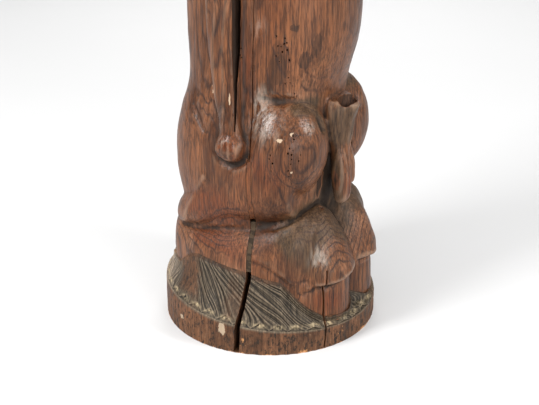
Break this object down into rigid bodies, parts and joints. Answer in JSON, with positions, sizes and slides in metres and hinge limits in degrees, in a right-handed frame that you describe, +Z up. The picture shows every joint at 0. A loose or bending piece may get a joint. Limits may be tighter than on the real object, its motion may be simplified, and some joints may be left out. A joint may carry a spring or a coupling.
{
  "type": "carved wooden tiki figure",
  "caption": "Kneeling tiki figure on a round grass-carved base, cut from one hardwood log, with a spline and a filler strip let into its drying check.",
  "frame": {"origin": "on the floor, under the centre of the round base", "axes": "+Z up; the figure faces -Y and its left side is +X"},
  "size_m": [0.2496, 0.2495, 0.8],
  "materials": {
    "carved_log": "dark-stained, waxed hardwood, rubbed to bare red-brown on the high spots",
    "check_spline": "strip of the same hardwood, stained with the figure",
    "check_filler": "matt grey-brown sawdust filler"
  },
  "bodies": {
    "root": {"carved_log": "carved_log", "check_spline": "check_spline", "check_filler": "check_filler"}
  },
  "joints": []
}
